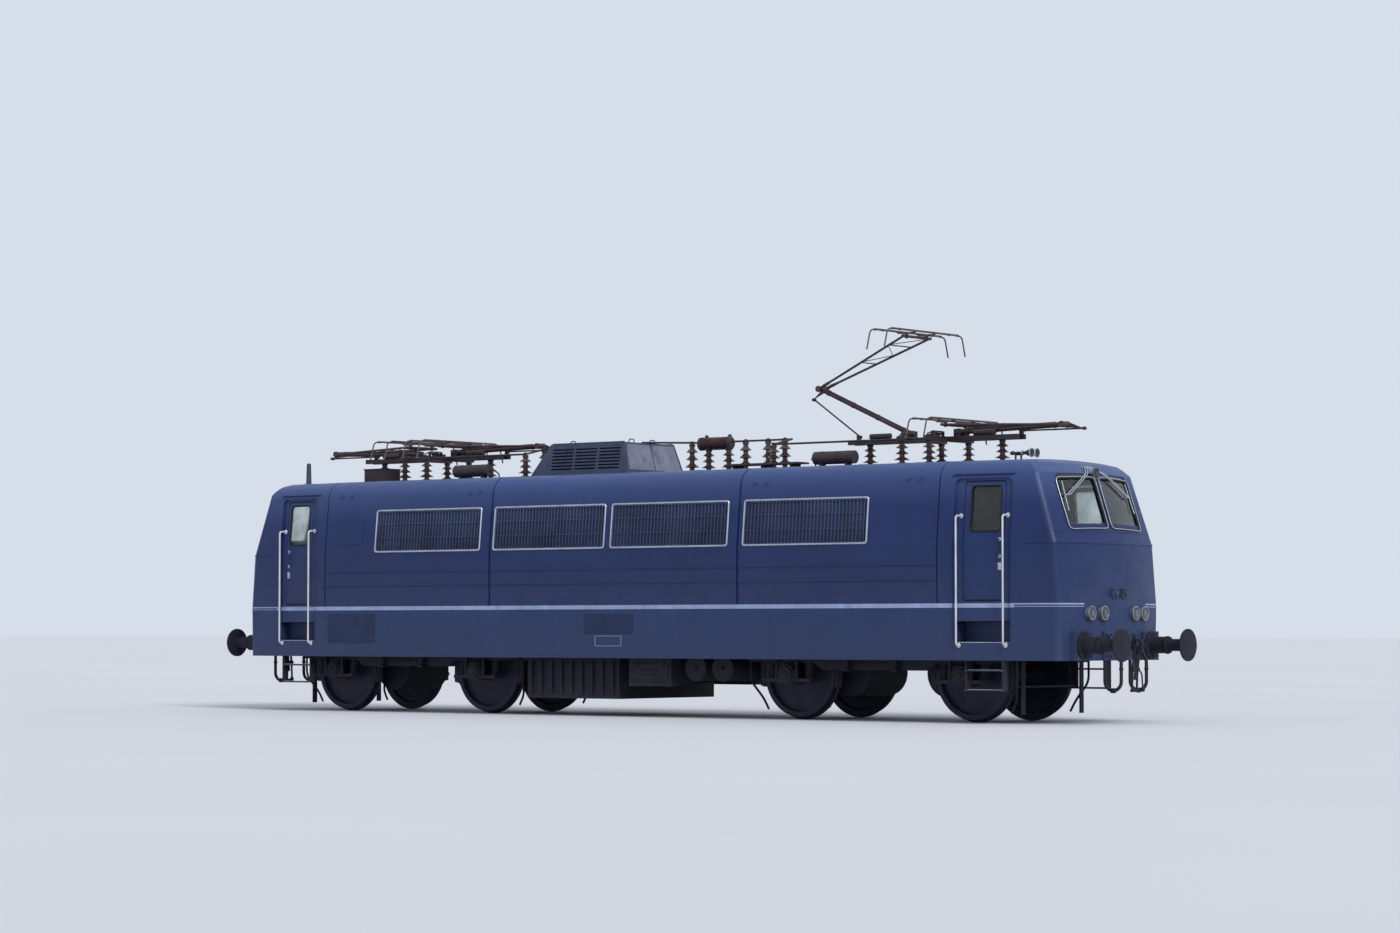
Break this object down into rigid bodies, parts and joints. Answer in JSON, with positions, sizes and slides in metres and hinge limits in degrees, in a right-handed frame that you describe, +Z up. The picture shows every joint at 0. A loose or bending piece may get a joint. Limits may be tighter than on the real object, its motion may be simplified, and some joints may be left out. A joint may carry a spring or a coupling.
{
  "type": "electric locomotive",
  "caption": "Full-size electric mainline locomotive with a cab at each end, swivelling bogies, turning wheelsets, opening cab doors and raising pantographs on the roof.",
  "frame": {"origin": "middle of the locomotive on the level of the lowest point of the wheel flanges, 30 mm under the top of the rail", "axes": "+X along the locomotive to end 1, +Z up; the side seen in the picture faces -Y"},
  "size_m": [16.95, 3.0674, 5.5837],
  "materials": {
    "body_blue": "satin",
    "body_blue_lower": "satin",
    "window_glass": "gloss",
    "grille_aluminium": "satin",
    "roof_grey": "matte",
    "cab_lining": "matte",
    "seat_cloth": "matte",
    "rail_white": "satin",
    "underframe_dark": "matte",
    "hose_rubber": "matte",
    "lamp_housing": "satin",
    "insulator_brown": "gloss",
    "roof_steel": "matte",
    "bogie_dark": "matte",
    "wheel_steel": "satin",
    "pantograph_steel": "matte",
    "contact_strip": "satin"
  },
  "bodies": {
    "body": {"lower_body": "body_blue_lower", "cab_shell_1": "body_blue", "cab_shell_2": "body_blue", "machine_hood_a": "body_blue", "machine_hood_b": "body_blue", "machine_hood_c": "body_blue", "windscreens": "window_glass", "side_grilles": "grille_aluminium", "roof_hood": "roof_grey", "cab_fittings": "cab_lining", "seats": "seat_cloth", "door_handrails": "rail_white", "entrance_steps": "underframe_dark", "buffers": "underframe_dark", "couplings": "underframe_dark", "transformer": "underframe_dark", "underfloor_equipment": "underframe_dark", "underframe": "underframe_dark", "brake_hoses": "hose_rubber", "lamps": "lamp_housing", "roof_insulators": "insulator_brown", "roof_air_gear": "roof_steel", "pantograph_bases": "roof_steel", "roof_line": "roof_steel"},
    "bogie_1": {"bogie_frame_1": "bogie_dark", "axle_boxes_1": "bogie_dark", "traction_motors_1": "bogie_dark", "brake_gear_1": "bogie_dark"},
    "wheelset_1_outer": {"wheelset_1_outer": "wheel_steel"},
    "wheelset_1_inner": {"wheelset_1_inner": "wheel_steel"},
    "bogie_2": {"bogie_frame_2": "bogie_dark", "axle_boxes_2": "bogie_dark", "traction_motors_2": "bogie_dark", "brake_gear_2": "bogie_dark"},
    "wheelset_2_outer": {"wheelset_2_outer": "wheel_steel"},
    "wheelset_2_inner": {"wheelset_2_inner": "wheel_steel"},
    "door_1_right": {"cab_door_1_right": "body_blue", "door_glass_1_right": "window_glass"},
    "door_1_left": {"cab_door_1_left": "body_blue", "door_glass_1_left": "window_glass"},
    "door_2_right": {"cab_door_2_right": "body_blue", "door_glass_2_right": "window_glass"},
    "door_2_left": {"cab_door_2_left": "body_blue", "door_glass_2_left": "window_glass"},
    "panto_lower_1_outer": {"lower_arm_1_outer": "pantograph_steel"},
    "panto_upper_1_outer": {"upper_arm_1_outer": "pantograph_steel"},
    "panto_head_1_outer": {"head_1_outer": "contact_strip"},
    "panto_rod_1_outer": {"control_rod_1_outer": "pantograph_steel"},
    "panto_lower_1_inner": {"lower_arm_1_inner": "pantograph_steel"},
    "panto_upper_1_inner": {"upper_arm_1_inner": "pantograph_steel"},
    "panto_head_1_inner": {"head_1_inner": "contact_strip"},
    "panto_rod_1_inner": {"control_rod_1_inner": "pantograph_steel"},
    "panto_lower_2_inner": {"lower_arm_2_inner": "pantograph_steel"},
    "panto_upper_2_inner": {"upper_arm_2_inner": "pantograph_steel"},
    "panto_head_2_inner": {"head_2_inner": "contact_strip"},
    "panto_rod_2_inner": {"control_rod_2_inner": "pantograph_steel"},
    "panto_lower_2_outer": {"lower_arm_2_outer": "pantograph_steel"},
    "panto_upper_2_outer": {"upper_arm_2_outer": "pantograph_steel"},
    "panto_head_2_outer": {"head_2_outer": "contact_strip"},
    "panto_rod_2_outer": {"control_rod_2_outer": "pantograph_steel"}
  },
  "joints": [
    {"name": "bogie_swivel_1", "type": "hinge", "parent": "body", "child": "bogie_1", "pos_m": [4.5, 0, 0.93], "axis": [0, 0, 1], "range_deg": [-3, 3]},
    {"name": "axle_1_outer", "type": "hinge", "parent": "bogie_1", "child": "wheelset_1_outer", "pos_m": [6, 0, 0.655], "axis": [0, 1, 0], "continuous": true},
    {"name": "axle_1_inner", "type": "hinge", "parent": "bogie_1", "child": "wheelset_1_inner", "pos_m": [3, 0, 0.655], "axis": [0, 1, 0], "continuous": true},
    {"name": "bogie_swivel_2", "type": "hinge", "parent": "body", "child": "bogie_2", "pos_m": [-4.5, 0, 0.93], "axis": [0, 0, 1], "range_deg": [-3, 3]},
    {"name": "axle_2_outer", "type": "hinge", "parent": "bogie_2", "child": "wheelset_2_outer", "pos_m": [-6, 0, 0.655], "axis": [0, 1, 0], "continuous": true},
    {"name": "axle_2_inner", "type": "hinge", "parent": "bogie_2", "child": "wheelset_2_inner", "pos_m": [-3, 0, 0.655], "axis": [0, 1, 0], "continuous": true},
    {"name": "door_hinge_1_right", "type": "hinge", "parent": "body", "child": "door_1_right", "pos_m": [6.235, -1.27342, 2.43], "axis": [0, 0, 1], "range_deg": [0, 85]},
    {"name": "door_hinge_1_left", "type": "hinge", "parent": "body", "child": "door_1_left", "pos_m": [6.235, 1.27342, 2.43], "axis": [0, 0, -1], "range_deg": [0, 85]},
    {"name": "door_hinge_2_right", "type": "hinge", "parent": "body", "child": "door_2_right", "pos_m": [-6.235, -1.27342, 2.43], "axis": [0, 0, -1], "range_deg": [0, 85]},
    {"name": "door_hinge_2_left", "type": "hinge", "parent": "body", "child": "door_2_left", "pos_m": [-6.235, 1.27342, 2.43], "axis": [0, 0, 1], "range_deg": [0, 85]},
    {"name": "panto_lift_1_outer", "type": "hinge", "parent": "body", "child": "panto_lower_1_outer", "pos_m": [5.25, 0, 4.11], "axis": [0, -1, 0], "range_deg": [0, 48.5]},
    {"name": "panto_knuckle_1_outer", "type": "hinge", "parent": "panto_lower_1_outer", "child": "panto_upper_1_outer", "pos_m": [6.9994, 0, 4.15581], "axis": [0, 1, 0], "range_deg": [0, 92.16]},
    {"name": "panto_head_tilt_1_outer", "type": "hinge", "parent": "panto_upper_1_outer", "child": "panto_head_1_outer", "pos_m": [5.17003, 0, 4.20371], "axis": [0, -1, 0], "range_deg": [0, 43.66]},
    {"name": "panto_rod_swing_1_outer", "type": "hinge", "parent": "body", "child": "panto_rod_1_outer", "pos_m": [6.235, 0.13, 4.1], "axis": [0, -1, 0], "range_deg": [0, 75.19]},
    {"name": "panto_lift_1_inner", "type": "hinge", "parent": "body", "child": "panto_lower_1_inner", "pos_m": [4.4, 0, 4.11], "axis": [0, 1, 0], "range_deg": [-22.5, 26]},
    {"name": "panto_knuckle_1_inner", "type": "hinge", "parent": "panto_lower_1_inner", "child": "panto_upper_1_inner", "pos_m": [2.8013, 0, 4.82179], "axis": [0, -1, 0], "range_deg": [-42.76, 49.41]},
    {"name": "panto_head_tilt_1_inner", "type": "hinge", "parent": "panto_upper_1_inner", "child": "panto_head_1_inner", "pos_m": [4.50102, 0, 5.49991], "axis": [0, 1, 0], "range_deg": [-20.26, 23.41]},
    {"name": "panto_rod_swing_1_inner", "type": "hinge", "parent": "body", "child": "panto_rod_1_inner", "pos_m": [3.415, 0.13, 4.1], "axis": [0, 1, 0], "range_deg": [-34.88, 40.31]},
    {"name": "panto_lift_2_inner", "type": "hinge", "parent": "body", "child": "panto_lower_2_inner", "pos_m": [-4.4, 0, 4.11], "axis": [0, -1, 0], "range_deg": [0, 48.5]},
    {"name": "panto_knuckle_2_inner", "type": "hinge", "parent": "panto_lower_2_inner", "child": "panto_upper_2_inner", "pos_m": [-2.6506, 0, 4.15581], "axis": [0, 1, 0], "range_deg": [0, 92.16]},
    {"name": "panto_head_tilt_2_inner", "type": "hinge", "parent": "panto_upper_2_inner", "child": "panto_head_2_inner", "pos_m": [-4.47997, 0, 4.20371], "axis": [0, -1, 0], "range_deg": [0, 43.66]},
    {"name": "panto_rod_swing_2_inner", "type": "hinge", "parent": "body", "child": "panto_rod_2_inner", "pos_m": [-3.415, 0.13, 4.1], "axis": [0, -1, 0], "range_deg": [0, 75.19]},
    {"name": "panto_lift_2_outer", "type": "hinge", "parent": "body", "child": "panto_lower_2_outer", "pos_m": [-5.25, 0, 4.11], "axis": [0, 1, 0], "range_deg": [0, 48.5]},
    {"name": "panto_knuckle_2_outer", "type": "hinge", "parent": "panto_lower_2_outer", "child": "panto_upper_2_outer", "pos_m": [-6.9994, 0, 4.15581], "axis": [0, -1, 0], "range_deg": [0, 92.16]},
    {"name": "panto_head_tilt_2_outer", "type": "hinge", "parent": "panto_upper_2_outer", "child": "panto_head_2_outer", "pos_m": [-5.17003, 0, 4.20371], "axis": [0, 1, 0], "range_deg": [0, 43.66]},
    {"name": "panto_rod_swing_2_outer", "type": "hinge", "parent": "body", "child": "panto_rod_2_outer", "pos_m": [-6.235, 0.13, 4.1], "axis": [0, 1, 0], "range_deg": [0, 75.19]}
  ],
  "couplings": [
    {"joint": "panto_knuckle_1_outer", "follows": "panto_lift_1_outer", "ratio": 1.9},
    {"joint": "panto_head_tilt_1_outer", "follows": "panto_lift_1_outer", "ratio": 0.9},
    {"joint": "panto_rod_swing_1_outer", "follows": "panto_lift_1_outer", "ratio": 1.55},
    {"joint": "panto_knuckle_1_inner", "follows": "panto_lift_1_inner", "ratio": 1.9},
    {"joint": "panto_head_tilt_1_inner", "follows": "panto_lift_1_inner", "ratio": 0.9},
    {"joint": "panto_rod_swing_1_inner", "follows": "panto_lift_1_inner", "ratio": 1.55},
    {"joint": "panto_knuckle_2_inner", "follows": "panto_lift_2_inner", "ratio": 1.9},
    {"joint": "panto_head_tilt_2_inner", "follows": "panto_lift_2_inner", "ratio": 0.9},
    {"joint": "panto_rod_swing_2_inner", "follows": "panto_lift_2_inner", "ratio": 1.55},
    {"joint": "panto_knuckle_2_outer", "follows": "panto_lift_2_outer", "ratio": 1.9},
    {"joint": "panto_head_tilt_2_outer", "follows": "panto_lift_2_outer", "ratio": 0.9},
    {"joint": "panto_rod_swing_2_outer", "follows": "panto_lift_2_outer", "ratio": 1.55}
  ]
}
